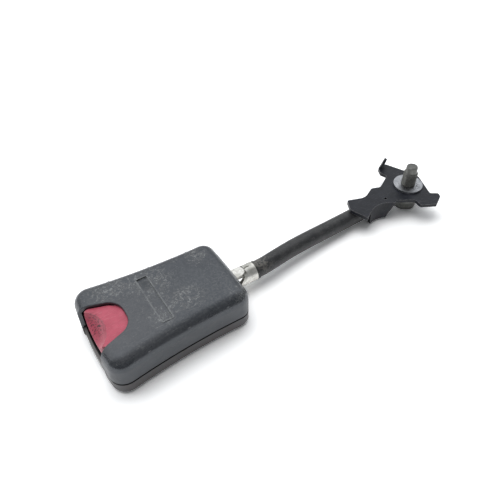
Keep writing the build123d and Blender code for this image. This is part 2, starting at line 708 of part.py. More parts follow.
def anchor_bolt():
    """Hexagon flange bolt with an undercut neck, a thread and a dog point."""
    radius = HEX_ACROSS_FLATS / math.sqrt(3)
    hexagon = extrude(Pos(0, 0, up(0)) * RegularPolygon(radius, 6), HEX_HEIGHT + 0.5)
    dome = Pos(0, 0, up(0)) * extrude(Circle(radius * 0.9), HEX_HEIGHT + 1, taper=-20)
    with BuildSketch(Plane.XZ) as half:
        with BuildLine():
            Polyline(
                (0, up(HEX_HEIGHT - 0.2)),
                (9.2, up(HEX_HEIGHT - 0.2)),
                (FLANGE_RADIUS, up(HEAD_HEIGHT - 1.2)),
                (FLANGE_RADIUS, up(HEAD_HEIGHT)),
                (NECK_RADIUS, up(HEAD_HEIGHT)),
                (NECK_RADIUS, 0),
                (THREAD_RADIUS, 0),
                (THREAD_RADIUS, THREAD_LENGTH),
                (DOG_RADIUS + 0.3, THREAD_LENGTH + 0.75),
                (DOG_RADIUS, THREAD_LENGTH + 1.4),
                (DOG_RADIUS, THREAD_LENGTH + DOG_LENGTH - 0.7),
                (DOG_RADIUS - 0.7, THREAD_LENGTH + DOG_LENGTH),
                (0, THREAD_LENGTH + DOG_LENGTH),
                close=True,
            )
        make_face()
    shank = revolve(half.sketch, Axis.Z)
    return (hexagon & dome) + shank


NODES = {
    "upper_cover": upper_cover,
    "lower_cover": lower_cover,
    "latch_frame": latch_frame,
    "mouth_guide": mouth_guide,
    "release_button": release_button,
    "lock_slider": lock_slider,
    "button_springs": button_springs,
    "latch_pawl": latch_pawl,
    "pawl_pin": pawl_pin,
    "pawl_spring": pawl_spring,
    "ejector": ejector,
    "ejector_spring": ejector_spring,
    "cable_yoke": cable_yoke,
    "yoke_pin": yoke_pin,
    "wire_rope": wire_rope,
    "cable_sheath": cable_sheath,
    "sheath_collar": sheath_collar,
    "cable_terminal": cable_terminal,
    "anchor_plate": anchor_plate,
    "spacer_bush": spacer_bush,
    "retaining_washer": retaining_washer,
    "anchor_bolt": anchor_bolt,
}

os.makedirs("parts", exist_ok=True)
print("cable arc radii", [round(radius, 1) for radius in cable_path()[1]])
for node, make in NODES.items():
    shape = make()
    export_step(shape, f"parts/{node}.step")
    print(node, "solids", len(shape.solids()), "volume", round(shape.volume, 1))
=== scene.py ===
"""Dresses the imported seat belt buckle: worn black mouldings, a rose button, plated and
coated steel, a threaded anchor bolt, round wire springs, and a plain pale studio.

Metres, in the CAD frame: +Z up the anchor bolt, +X from the mouth towards the bolt, the
origin on the bolt's axis at its washer's upper face.  Colours are linear.
"""

import json
import math

import bmesh
import bpy
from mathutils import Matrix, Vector


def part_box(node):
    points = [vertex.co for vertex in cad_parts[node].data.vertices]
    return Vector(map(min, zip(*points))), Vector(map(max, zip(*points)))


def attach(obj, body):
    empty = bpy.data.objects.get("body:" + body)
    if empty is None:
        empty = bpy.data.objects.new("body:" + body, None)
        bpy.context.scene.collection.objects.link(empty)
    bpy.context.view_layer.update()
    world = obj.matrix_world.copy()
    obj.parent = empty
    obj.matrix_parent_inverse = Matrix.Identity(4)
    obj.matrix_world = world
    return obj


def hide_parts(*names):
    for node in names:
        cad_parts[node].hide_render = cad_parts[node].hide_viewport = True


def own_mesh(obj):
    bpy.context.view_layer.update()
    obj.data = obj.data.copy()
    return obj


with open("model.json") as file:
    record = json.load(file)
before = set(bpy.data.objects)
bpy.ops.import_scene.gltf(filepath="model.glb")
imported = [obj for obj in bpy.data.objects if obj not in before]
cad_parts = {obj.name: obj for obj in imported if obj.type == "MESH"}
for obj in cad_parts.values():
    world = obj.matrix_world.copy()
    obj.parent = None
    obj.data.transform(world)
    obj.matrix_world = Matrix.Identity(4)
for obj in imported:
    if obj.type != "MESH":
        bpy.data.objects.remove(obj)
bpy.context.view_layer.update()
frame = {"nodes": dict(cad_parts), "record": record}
NODES = frame["nodes"]

MM = 0.001
SEAM_HEIGHT = 9.5 * MM
FLOOR_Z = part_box("lower_cover")[0][2]
AXIS_Y = (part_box("lower_cover")[0][1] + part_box("lower_cover")[1][1]) / 2
ROOF_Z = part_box("upper_cover")[1][2]
SEAM_Z = FLOOR_Z + SEAM_HEIGHT


def mm(*sizes):
    """Sizes in millimetres as a tuple in metres."""
    return tuple(size * MM for size in sizes)


def place_at(x, across, level, drop=0.0):
    """A place on the part: X, distance from its middle plane, and drop below a level.

    The level is in metres and the other three are in millimetres.
    """
    return (x * MM, AXIS_Y + across * MM, level - drop * MM)


# --- materials ----------------------------------------------------------------------
MIX_FACTOR, MIX_A, MIX_B, MIX_RESULT = 0, 6, 7, 2  # a Mix node's sockets for colours
EDGE_SAMPLES = 6


class Nodes:
    """Adds nodes to a tree and links them."""

    def __init__(self, tree):
        self.tree = tree

    def node(self, kind, **settings):
        made = self.tree.nodes.new(kind)
        for key, value in settings.items():
            setattr(made, key, value)
        return made

    def feed(self, socket, value):
        """Links an output to a socket, or sets the socket to a plain value."""
        if isinstance(value, bpy.types.NodeSocket):
            self.tree.links.new(value, socket)
        else:
            socket.default_value = value

    def ramp(self, value, low, high, out_low=0.0, out_high=1.0):
        """A smooth step from out_low to out_high as the value goes from low to high."""
        made = self.node("ShaderNodeMapRange", interpolation_type="SMOOTHSTEP")
        self.feed(made.inputs["Value"], value)
        made.inputs["From Min"].default_value = low
        made.inputs["From Max"].default_value = high
        made.inputs["To Min"].default_value = out_low
        made.inputs["To Max"].default_value = out_high
        return made.outputs["Result"]

    def maths(self, operation, *values, clamp=False):
        made = self.node("ShaderNodeMath", operation=operation, use_clamp=clamp)
        for socket, value in zip(made.inputs, values):
            self.feed(socket, value)
        return made.outputs[0]

    def vector_maths(self, operation, *values):
        made = self.node("ShaderNodeVectorMath", operation=operation)
        for socket, value in zip(made.inputs, values):
            self.feed(socket, value)
        return made.outputs

    def coordinates(self, vector):
        """The X, Y and Z outputs of a vector."""
        split = self.node("ShaderNodeSeparateXYZ")
        self.feed(split.inputs[0], vector)
        return split.outputs

    def total(self, *values):
        """The sum of masks, held between 0 and 1."""
        result = values[0]
        for value in values[1:]:
            result = self.maths("ADD", result, value, clamp=True)
        return result

    def product(self, *values):
        result = values[0]
        for value in values[1:]:
            result = self.maths("MULTIPLY", result, value)
        return result

    def mix(self, factor, a, b):
        """The colour a where the factor is 0 and b where it is 1."""
        made = self.node("ShaderNodeMix", data_type="RGBA")
        self.feed(made.inputs[MIX_FACTOR], factor)
        self.feed(made.inputs[MIX_A], a if isinstance(a, bpy.types.NodeSocket) else (*a, 1))
        self.feed(made.inputs[MIX_B], b if isinstance(b, bpy.types.NodeSocket) else (*b, 1))
        return made.outputs[MIX_RESULT]

    def coats(self, colour, *layers):
        """Lays layers over a colour in turn; each is a mask and its own colour."""
        for mask, layer in layers:
            colour = self.mix(mask, colour, layer)
        return colour


class Paint(Nodes):
    """A Principled material and the few node patterns that all finishes here share."""

    def __init__(self, name, metallic=0.0, specular=0.5):
        self.material = bpy.data.materials.new(name)
        self.material.use_nodes = True
        super().__init__(self.material.node_tree)
        self.shader = self.tree.nodes["Principled BSDF"]
        self.shader.inputs["Metallic"].default_value = metallic
        self.shader.inputs["Specular IOR Level"].default_value = specular
        self.place = self.node("ShaderNodeTexCoord").outputs["Object"]
        self.normal = None

    def noise(self, size, detail, roughness=0.55, distortion=0.0, place=None):
        """Noise whose features are about size metres across."""
        made = self.node("ShaderNodeTexNoise")
        self.feed(made.inputs["Vector"], place or self.place)
        made.inputs["Scale"].default_value = 1 / size
        made.inputs["Detail"].default_value = detail
        made.inputs["Roughness"].default_value = roughness
        made.inputs["Distortion"].default_value = distortion
        return made.outputs["Fac"]

    def bump(self, height, depth, strength):
        """Adds relief of depth metres on top of what is there already."""
        made = self.node("ShaderNodeBump")
        made.inputs["Strength"].default_value = strength
        made.inputs["Distance"].default_value = depth
        self.feed(made.inputs["Height"], height)
        if self.normal is not None:
            self.feed(made.inputs["Normal"], self.normal)
        self.normal = made.outputs["Normal"]

    def facing_up(self, low, high):
        """1 where the normal's Z is above high, 0 where it is below low."""
        normal = self.node("ShaderNodeNewGeometry").outputs["Normal"]
        return self.ramp(self.coordinates(normal)["Z"], low, high)

    def band(self, level, half):
        """1 at a height on the object, fading to 0 about half metres above and below."""
        height = self.coordinates(self.place)["Z"]
        away = self.maths("ABSOLUTE", self.maths("SUBTRACT", height, level))
        return self.ramp(away, half * 0.7, half * 1.3, 1.0, 0.0)

    def edges(self, radius, low, high):
        """1 on edges that are sharper than radius, 0 on flat stretches."""
        rounded = self.node("ShaderNodeBevel", samples=EDGE_SAMPLES)
        rounded.inputs["Radius"].default_value = radius
        plain = self.node("ShaderNodeNewGeometry")
        normals = (rounded.outputs["Normal"], plain.outputs["Normal"])
        dot = self.vector_maths("DOT_PRODUCT", *normals)["Value"]
        return self.ramp(self.maths("SUBTRACT", 1.0, dot), low, high)

    def scaled_from(self, centre, half):
        """The way from a centre, measured in half sizes along each axis."""
        away = self.vector_maths("SUBTRACT", self.place, centre)
        return self.vector_maths("DIVIDE", away[0], half)[0]

    def patch(self, centre, half):
        """1 at a place on the object, fading to 0 at its half size."""
        length = self.vector_maths("LENGTH", self.scaled_from(centre, half))
        return self.ramp(length["Value"], 0.25, 1.0, 1.0, 0.0)

    def block(self, centre, half):
        """1 inside an upright box on the object, 0 outside it."""
        split = self.coordinates(self.scaled_from(centre, half))
        sides = [self.maths("ABSOLUTE", split[axis]) for axis in "XYZ"]
        return self.product(*(self.ramp(side, 0.95, 1.05, 1.0, 0.0) for side in sides))

    def scratches(self, *runs):
        """Fine straight scratches seen from above.

        Each run is a heading in degrees, a width and a length in mm, a threshold that
        thins the scratches out, and a shift that sets the run apart from the others.
        """
        found = []
        for heading, width, length, threshold, shift in runs:
            width, length = mm(width, length)
            made = self.node("ShaderNodeMapping")
            self.feed(made.inputs["Vector"], self.place)
            made.inputs["Scale"].default_value = (width / length, 1, 1)
            made.inputs["Rotation"].default_value = (0, 0, math.radians(heading))
            made.inputs["Location"].default_value = (shift, shift, 0)
            streaks = self.noise(width, 1.0, 0.3, 0.4, made.outputs["Vector"])
            found.append(self.ramp(streaks, threshold, threshold + 0.05))
        return self.total(*found)

    def finish(self, colour, roughness):
        self.feed(self.shader.inputs["Base Color"], colour)
        self.feed(self.shader.inputs["Roughness"], roughness)
        if self.normal is not None:
            self.feed(self.shader.inputs["Normal"], self.normal)
        return self.material


CASE_BLACK = (0.008, 0.011, 0.016)
CASE_FADED = (0.02, 0.022, 0.026)
CASE_SHEEN = (0.9, 0.94, 1.0, 1)
CASE_SPECULAR = 0.9
# Painted shade in the seam between the covers: a near-black band that loses most of its
# specular.
SEAM_SPECULAR_LOSS = 0.85
SEAM_HALF = 0.7 * MM
# Roof paler than the sides: partly worn matte plastic, partly a painted sheen for the light
# the roof reflects.
ROOF_GREY_AND_SHEEN = (0.03, 0.034, 0.04)
ROOF_SPECK = (0.06, 0.063, 0.067)
# Paler patch on the front of the roof: partly dust, partly a painted reflection.
ROOF_DUST_AND_REFLECTION = (0.066, 0.066, 0.07)
# Painted shade: the far rear of the roof darker, where its reflection falls off.
ROOF_PAINTED_SHADE = (0.012, 0.014, 0.02)
RUBBED_GREY = (0.075, 0.075, 0.072)
SCUFF_GREY = (0.24, 0.245, 0.245)
# Painted highlight along the sharp edges of the roof.
RIM_HIGHLIGHT_GREY = (0.22, 0.22, 0.22)
PANEL_X = -205.4  # mm
PANEL_BLACK = (0.006, 0.008, 0.011)
# Painted highlight along the rim of the recessed panel.
PANEL_RIM_HIGHLIGHT_GREY = (0.2, 0.205, 0.205)
LOWER_BROWN = (0.046, 0.036, 0.031)
# Lip of the mouth paler grey: partly rubbed by the tongue plate, partly painted light on
# its upward faces.
LIP_GREY = (0.17, 0.165, 0.155)
# Painted shade in the seam.
SEAM_SHADE_BLACK = (0.002, 0.002, 0.002)
SHOULDER_POLISH = 0.16  # how much less rough the rounded edge of the roof is
# Where the roof is rubbed: X, distance from the middle plane and drop below the roof,
# then the half sizes, in mm.
RUBBED_PLACES = (
    ((-203, 12, 0), (17, 17, 7)),
    ((-223, 20, 0), (20, 11, 9)),
    ((-190, -9, 0), (15, 12, 6)),
    ((-207, -14, 0), (10, 10, 6)),
    ((-169, 17, 0), (9, 9, 6)),
    ((-162, -20, 6), (10, 9, 12)),
)


def rubbed_grey(paint, roof, mottled):
    """Masks of the rubbed patches and of the worm-like scuffs, most of them inside."""
    speckled = paint.noise(1.2 * MM, 3, 0.6, 0.3)
    grain = paint.noise(4.0 * MM, 2, 0.5, 2.0)
    ridges = paint.maths("ABSOLUTE", paint.maths("SUBTRACT", grain, 0.5))
    worms = paint.product(
        paint.ramp(ridges, 0.0, 0.055, 1.0, 0.0), paint.ramp(speckled, 0.38, 0.54)
    )
    patches = []
    for (x, across, drop), half in RUBBED_PLACES:
        patches.append(paint.patch(place_at(x, across, ROOF_Z, drop), mm(*half)))
    rubbed = paint.product(paint.total(*patches), paint.ramp(mottled, 0.4, 0.52))
    elsewhere = paint.product(roof, paint.ramp(mottled, 0.5, 0.65, 0.03, 0.35))
    scuffs = paint.product(worms, paint.total(rubbed, elsewhere))
    specks = paint.product(paint.ramp(speckled, 0.42, 0.62), roof, 0.7)
    return rubbed, scuffs, specks


def case_plastic():
    """Black moulding with a satin sheen, its roof rubbed grey in worm-like patches."""
    paint = Paint("case_plastic")
    cloudy = paint.noise(22 * MM, 4, 0.6)
    mottled = paint.noise(4.5 * MM, 4, 0.65, 0.6)
    roof = paint.facing_up(0.3, 0.95)
    rubbed, scuffs, specks = rubbed_grey(paint, roof, mottled)
    scratches = paint.product(
        paint.scratches((62, 0.3, 7, 0.72, 0.0), (-25, 0.3, 6, 0.72, 0.31)),
        paint.ramp(cloudy, 0.45, 0.6, 0.1, 0.8),
    )
    # Painted highlight along the sharp roof edges, broken up by noise.
    rim = paint.product(
        paint.edges(0.5 * MM, 0.03, 0.2), paint.ramp(mottled, 0.35, 0.6, 0.1, 0.8), roof
    )
    # Front of the roof paler: partly dust, partly painted reflection.
    dust_and_reflection = paint.patch(place_at(-230, -8, ROOF_Z), mm(46, 36, 9))
    # Painted shade on the far rear of the roof.
    shaded = paint.patch(place_at(-172, 20, ROOF_Z), mm(34, 26, 9))

    panel = paint.block(place_at(PANEL_X, 0, ROOF_Z), mm(4.2, 18.8, 2))
    panel_end = paint.patch(place_at(PANEL_X, 14, ROOF_Z), mm(4.5, 9, 3))
    # Painted highlight along the panel's rim, broken up by noise.
    panel_rim = paint.product(
        paint.edges(0.9 * MM, 0.01, 0.1), panel, paint.ramp(mottled, 0.35, 0.5, 0.3, 1.0)
    )

    below = paint.block(place_at(-200, 0, FLOOR_Z, -4.5), mm(60, 40, 4.6))
    # The mouth's lip, its upward faces most: partly wear, partly painted light.
    mouth = paint.block(place_at(-243, 0, SEAM_Z), mm(4, 17, 3))
    front = paint.patch(place_at(-246, 0, SEAM_Z), mm(5, 34, 8))
    sill = paint.product(mouth, paint.facing_up(0.5, 0.9))
    lip = paint.total(
        paint.product(sill, paint.ramp(mottled, 0.3, 0.6, 0.6, 1.0)),
        paint.product(front, paint.ramp(mottled, 0.4, 0.6, 0.1, 0.5)),
    )
    # Painted shade along the seam, left out in the mouth.
    seam = paint.product(paint.band(SEAM_Z, SEAM_HALF), paint.maths("SUBTRACT", 1.0, mouth))

    worn = paint.total(paint.product(scuffs, 0.9), paint.product(scratches, 0.4))
    colour = paint.coats(
        paint.mix(paint.ramp(cloudy, 0.35, 0.65), CASE_BLACK, CASE_FADED),
        # upward faces paler: partly wear, partly painted sheen
        (paint.product(roof, 0.8), ROOF_GREY_AND_SHEEN),
        (specks, ROOF_SPECK),
        (paint.product(dust_and_reflection, roof, 0.55), ROOF_DUST_AND_REFLECTION),
        (paint.product(shaded, 0.5), ROOF_PAINTED_SHADE),
        (paint.product(rubbed, 0.5), RUBBED_GREY),
        (worn, SCUFF_GREY),
        (paint.product(rim, 0.7), RIM_HIGHLIGHT_GREY),
        (paint.product(panel_end, panel, 0.8), PANEL_BLACK),
        (paint.product(panel_rim, 0.9), PANEL_RIM_HIGHLIGHT_GREY),
        (paint.product(below, paint.ramp(mottled, 0.35, 0.6, 0.5, 1.0)), LOWER_BROWN),
        (lip, LIP_GREY),
        (seam, SEAM_SHADE_BLACK),
    )
    specular = paint.maths("MULTIPLY_ADD", seam, -SEAM_SPECULAR_LOSS, CASE_SPECULAR)
    paint.feed(paint.shader.inputs["Specular IOR Level"], specular)
    paint.feed(paint.shader.inputs["Specular Tint"], CASE_SHEEN)
    uneven = paint.total(paint.product(cloudy, 0.5), paint.product(mottled, 0.5))
    shoulder = paint.product(paint.facing_up(0.1, 0.4), paint.facing_up(0.97, 0.75))
    rough = paint.ramp(uneven, 0.35, 0.65, 0.36, 0.5)
    rough = paint.maths("MULTIPLY_ADD", shoulder, -SHOULDER_POLISH, rough)
    paint.bump(paint.noise(0.9 * MM, 3, 0.6), 0.05 * MM, 0.7)
    paint.bump(cloudy, 0.3 * MM, 0.5)
    return paint.finish(colour, rough)


BUTTON_RED = (0.44, 0.066, 0.105)
BUTTON_FADED = (0.53, 0.088, 0.138)
# Scoop colour: partly grime, partly painted shade.
BUTTON_GRIME_AND_SHADE = (0.15, 0.042, 0.056)
BUTTON_GOUGE = (0.03, 0.014, 0.018)
BUTTON_SCRATCH = (0.6, 0.3, 0.32)
BUTTON_RIM_DIRT = (0.12, 0.04, 0.045)
BUTTON_RIM_PALE = (0.62, 0.36, 0.36)


def button_plastic():
    """Rose-red acetal, polished by thumbs; its scoop dirty and painted darker for the shade
    there.
    """
    paint = Paint("button_plastic")
    cloudy = paint.noise(7 * MM, 3, 0.6)
    grime = paint.noise(1.6 * MM, 5, 0.7, 0.8)
    # The scoop: partly grime, partly painted shade.
    scoop = paint.patch(place_at(-249, 0, ROOF_Z, 3), mm(14, 13, 12))
    pit = paint.patch(place_at(-241, 4, ROOF_Z, 4), mm(8, 10, 14))
    gouges = paint.scratches((80, 1.0, 5, 0.6, 0.7), (35, 1.0, 4, 0.6, 1.1))
    marks = paint.scratches((15, 0.25, 6, 0.67, 0.0), (-60, 0.25, 7, 0.68, 0.4))
    rim = paint.edges(0.8 * MM, 0.01, 0.1)
    colour = paint.coats(
        paint.mix(paint.ramp(cloudy, 0.3, 0.7), BUTTON_RED, BUTTON_FADED),
        (paint.product(scoop, paint.ramp(grime, 0.38, 0.58, 0.6, 1.0)), BUTTON_GRIME_AND_SHADE),
        (paint.product(pit, gouges), BUTTON_GOUGE),
        (paint.product(marks, 0.35), BUTTON_SCRATCH),
        (paint.product(rim, paint.ramp(grime, 0.42, 0.52), 0.5), BUTTON_RIM_DIRT),
        (paint.product(rim, paint.ramp(grime, 0.5, 0.6), 0.5), BUTTON_RIM_PALE),
    )
    rough = paint.ramp(grime, 0.3, 0.7, 0.34, 0.52)
    paint.bump(paint.noise(0.5 * MM, 2), 0.02 * MM, 0.5)
    paint.bump(paint.product(marks, -1.0), 0.03 * MM, 0.6)
    return paint.finish(colour, rough)


SHEATH_BLACK = (0.02, 0.021, 0.023)
SHEATH_FADED = (0.038, 0.038, 0.04)
SHEATH_SPECK = (0.06, 0.06, 0.058)
SHEATH_DUST = (0.2, 0.19, 0.17)
SHEATH_SCRATCH = (0.14, 0.14, 0.14)


def sheath_plastic():
    """Black vinyl tube, a little wavy, with pale rub marks near the ferrule."""
    paint = Paint("sheath_plastic", specular=0.45)
    cloudy = paint.noise(9 * MM, 3, 0.6)
    mottled = paint.noise(2.2 * MM, 4, 0.65, 0.5)
    rub = paint.product(
        paint.patch(place_at(-134, 0, FLOOR_Z, -15), mm(12, 10, 9)),
        paint.ramp(mottled, 0.42, 0.6),
    )
    marks = paint.scratches((5, 0.3, 9, 0.65, 0.0), (-20, 0.3, 6, 0.67, 0.2))
    colour = paint.coats(
        paint.mix(paint.ramp(cloudy, 0.3, 0.7), SHEATH_BLACK, SHEATH_FADED),
        (paint.product(paint.ramp(mottled, 0.45, 0.65), 0.5), SHEATH_SPECK),
        (paint.product(rub, 0.6), SHEATH_DUST),
        (paint.product(marks, 0.35), SHEATH_SCRATCH),
    )
    rough = paint.ramp(mottled, 0.3, 0.7, 0.36, 0.56)
    paint.bump(cloudy, 0.5 * MM, 0.6)
    paint.bump(mottled, 0.09 * MM, 0.6)
    return paint.finish(colour, rough)


ACETAL_DULL = (0.52, 0.52, 0.49)
ACETAL_PALE = (0.66, 0.66, 0.63)


def inner_plastic():
    """Natural acetal of the hidden slides and the bush."""
    paint = Paint("inner_plastic")
    cloudy = paint.noise(6 * MM, 3)
    colour = paint.mix(paint.ramp(cloudy, 0.3, 0.7), ACETAL_DULL, ACETAL_PALE)
    paint.bump(paint.noise(0.6 * MM, 2), 0.02 * MM, 0.5)
    return paint.finish(colour, paint.ramp(cloudy, 0.3, 0.7, 0.34, 0.48))


def plated(name, bright, dull, roughness, dirt, dirt_share=0.4, soiled=None):
    """Plated steel with cloudy brightness, fine rolling lines and dirt in patches.

    soiled is a centre and a half size within which the dirt sits thicker.
    """
    paint = Paint(name, metallic=1.0)
    cloudy = paint.noise(5 * MM, 4, 0.6)
    mottled = paint.noise(0.9 * MM, 4, 0.65, 0.5)
    marks = paint.scratches((30, 0.2, 4, 0.62, 0.0), (-55, 0.2, 3, 0.64, 0.2))
    stained = paint.product(
        paint.ramp(mottled, 0.5, 0.66), paint.ramp(cloudy, 0.4, 0.65), dirt_share
    )
    if soiled:
        thicker = paint.product(paint.patch(*soiled), paint.ramp(mottled, 0.44, 0.6))
        stained = paint.total(stained, thicker)
    colour = paint.mix(stained, paint.mix(paint.ramp(cloudy, 0.3, 0.7), dull, bright), dirt)
    rough = paint.total(
        paint.ramp(mottled, 0.3, 0.7, roughness - 0.07, roughness + 0.1),
        paint.product(marks, 0.08),
    )
    paint.bump(mottled, 0.03 * MM, 0.5)
    paint.bump(paint.product(marks, -1.0), 0.02 * MM, 0.5)
    return paint.finish(colour, rough)


COATING_BLACK = (0.006, 0.0075, 0.012)
COATING_FADED = (0.015, 0.017, 0.024)
COATING_SPECK = (0.035, 0.035, 0.038)
COATING_SCRATCH = (0.12, 0.12, 0.13)
# Painted highlight along the plate's edges.
EDGE_HIGHLIGHT_GREY = (0.2, 0.2, 0.2)


def dark_steel():
    """Satin black coating over stamped steel, with a painted highlight along its edges."""
    paint = Paint("dark_steel", specular=0.3)
    cloudy = paint.noise(10 * MM, 3, 0.6)
    mottled = paint.noise(1.8 * MM, 4, 0.65, 0.5)
    marks = paint.scratches((-12, 0.3, 7, 0.68, 0.0), (50, 0.3, 5, 0.69, 0.3))
    # Painted highlight along sharp edges, broken up by noise.
    edge = paint.product(
        paint.edges(0.7 * MM, 0.02, 0.12), paint.ramp(mottled, 0.35, 0.6, 0.2, 1.0)
    )
    colour = paint.coats(
        paint.mix(paint.ramp(cloudy, 0.3, 0.7), COATING_BLACK, COATING_FADED),
        (paint.product(paint.ramp(mottled, 0.5, 0.66), 0.5), COATING_SPECK),
        (paint.product(marks, 0.3), COATING_SCRATCH),
        (paint.product(edge, 0.8), EDGE_HIGHLIGHT_GREY),
    )
    rough = paint.ramp(mottled, 0.3, 0.7, 0.35, 0.5)
    paint.bump(paint.noise(0.9 * MM, 2), 0.03 * MM, 0.5)
    paint.bump(cloudy, 0.2 * MM, 0.5)
    return paint.finish(colour, rough)


ROUND_THE_BOLT = (mm(0, -1.5, 0), mm(10.5, 10.5, 6))
SLOT_MATERIALS = {
    "case_plastic": case_plastic(),
    "button_plastic": button_plastic(),
    "inner_plastic": inner_plastic(),
    "sheath_plastic": sheath_plastic(),
    "dark_steel": dark_steel(),
    "zinc_plated_steel": plated(
        "zinc_plated_steel",
        bright=(0.86, 0.85, 0.81), dull=(0.52, 0.51, 0.47), roughness=0.42,
        dirt=(0.14, 0.125, 0.1),
    ),
    "washer_steel": plated(
        "washer_steel",
        bright=(0.5, 0.51, 0.53), dull=(0.34, 0.35, 0.37), roughness=0.42,
        dirt=(0.06, 0.06, 0.055), soiled=ROUND_THE_BOLT,
    ),
    "bolt_steel": plated(
        "bolt_steel",
        bright=(0.22, 0.222, 0.212), dull=(0.14, 0.14, 0.13), roughness=0.45,
        dirt=(0.055, 0.048, 0.036), dirt_share=0.6,
    ),
    "hardened_steel": plated(
        "hardened_steel",
        bright=(0.5, 0.5, 0.5), dull=(0.38, 0.38, 0.38), roughness=0.32,
        dirt=(0.12, 0.1, 0.08),
    ),
    "spring_steel": plated(
        "spring_steel",
        bright=(0.6, 0.6, 0.6), dull=(0.45, 0.45, 0.45), roughness=0.3,
        dirt=(0.15, 0.13, 0.1),
    ),
    "rope_steel": plated(
        "rope_steel",
        bright=(0.6, 0.6, 0.57), dull=(0.42, 0.42, 0.4), roughness=0.4,
        dirt=(0.12, 0.11, 0.08),
    ),
}
NODE_SLOT = {part["node"]: part["material_slot"] for part in frame["record"]["subparts"]}


def dress_nodes():
    """Gives each CAD node the finish of its slot."""
    for name, node in NODES.items():
        node.data.materials.clear()
        node.data.materials.append(SLOT_MATERIALS[NODE_SLOT[name]])


# --- pieces -------------------------------------------------------------------------
SHARP = math.radians(32)


def skin(mesh, rings):
    """Closes a bmesh over rings of vertices, with a face across each end."""
    columns = len(rings[0])
    for lower, upper in zip(rings, rings[1:]):
        for step in range(columns):
            after = (step + 1) % columns
            mesh.faces.new((lower[step], lower[after], upper[after], upper[step]))
    mesh.faces.new(list(reversed(rings[0])))
    mesh.faces.new(rings[-1])


def to_object(name, mesh):
    """Turns a bmesh into a smooth-shaded object with its sharp edges kept."""
    bmesh.ops.recalc_face_normals(mesh, faces=mesh.faces)
    for face in mesh.faces:
        face.smooth = True
    for edge in mesh.edges:
        edge.smooth = edge.calc_face_angle(0) < SHARP
    data = bpy.data.meshes.new(name)
    mesh.to_mesh(data)
    mesh.free()
    piece = bpy.data.objects.new(name, data)
    bpy.context.scene.collection.objects.link(piece)
    return piece


def lathe(name, rows, columns):
    """A closed body of rings; each row is a function from angle to (radius, z)."""
    mesh = bmesh.new()
    rings = []
    for row in rows:
        ring = []
        for step in range(columns):
            angle = 2 * math.pi * step / columns
            radius, z = row(angle)
            x, y = radius * math.cos(angle), radius * math.sin(angle)
            ring.append(mesh.verts.new((x, y, z)))
        rings.append(ring)
    skin(mesh, rings)
    return to_object(name, mesh)


BOLT_COLUMNS = 96
SEAT_Z = 0.0
# Radius and height in mm, over the floor for the head and over the seat for the rest.
HEAD_FOOT = ((1, 0), (8.0, 0))
HEX_HEIGHTS = (0.05, 0.4, 0.9, 1.4, 2.0, 2.7, 7.2)
FLANGE_PROFILE = (
    (9.3, 7.2), (11.1, 8.0), (11.4, 8.4), (11.4, 9.2), (11.1, 9.5), (4.6, 9.5),
)
NECK_PROFILE = ((4.6, -0.02), (4.9, 0.02))
DOG_PROFILE = (
    (4.9, 10.0), (4.25, 10.75), (3.95, 11.4), (3.95, 14.7), (3.75, 15.15), (3.25, 15.4),
    (0.4, 15.4),
)
HEX_FLATS = 17 * MM
HEX_FOOT_RADIUS = 8.83 * MM
HEX_CHAMFER = math.radians(20)
THREAD_RADIUS = 5.0 * MM
THREAD_TOP = 10.0 * MM
THREAD_PITCH = 1.25 * MM
THREAD_DEPTH = 0.62 * MM
THREAD_ROWS = 84
GROOVE_HALF = 0.44  # share of the pitch
RUN_IN_START, RUN_IN_LENGTH = 0.3 * MM, 0.9 * MM
RUN_OUT_END, RUN_OUT_LENGTH = THREAD_TOP - 0.2 * MM, 0.8 * MM


def clamped(value):
    return min(1.0, max(0.0, value))


def round_rows(profile, base):
    """Lathe rows of one radius each, from a profile's radii and heights over a base."""

    def row(radius, height):
        return lambda angle: (radius * MM, base + height * MM)

    return [row(radius, height) for radius, height in profile]


def hexagon_row(z):
    """A lathe row round the hexagon, its corners chamfered towards its foot."""
    chamfer = HEX_FOOT_RADIUS + (z - FLOOR_Z) * math.tan(HEX_CHAMFER)

    def row(angle):
        from_flat = (angle + math.pi / 6) % (math.pi / 3) - math.pi / 6
        return min(HEX_FLATS / 2 / math.cos(from_flat), chamfer), z

    return row


def thread_row(z):
    """A lathe row through the thread's helical groove, which fades at both ends."""

    def row(angle):
        phase = (z / THREAD_PITCH - angle / (2 * math.pi)) % 1.0
        groove = clamped(1 - abs(phase - 0.5) / GROOVE_HALF)
        run_in = clamped((z - RUN_IN_START) / RUN_IN_LENGTH)
        run_out = clamped((RUN_OUT_END - z) / RUN_OUT_LENGTH)
        return THREAD_RADIUS - THREAD_DEPTH * groove * run_in * run_out, z

    return row


def threaded_bolt():
    """The anchor bolt with its thread cut: hexagon, flange, neck, thread and dog point."""
    rows = round_rows(HEAD_FOOT, FLOOR_Z)
    rows += [hexagon_row(FLOOR_Z + height * MM) for height in HEX_HEIGHTS]
    rows += round_rows(FLANGE_PROFILE, FLOOR_Z)
    rows += round_rows(NECK_PROFILE, SEAT_Z)
    for step in range(THREAD_ROWS):
        rows.append(thread_row(THREAD_TOP * (step + 0.5) / THREAD_ROWS))
    rows += round_rows(DOG_PROFILE, SEAT_Z)
    bolt = lathe("threaded_bolt", rows, BOLT_COLUMNS)
    bolt.data.materials.append(SLOT_MATERIALS["bolt_steel"])
    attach(bolt, "bolt")
    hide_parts("anchor_bolt")


WIRE_RADIUS = 0.34 * MM
WIRE_SIDES = 12
TURN_STEPS = 24
BUTTON_SPRING_Y = 11.5 * MM


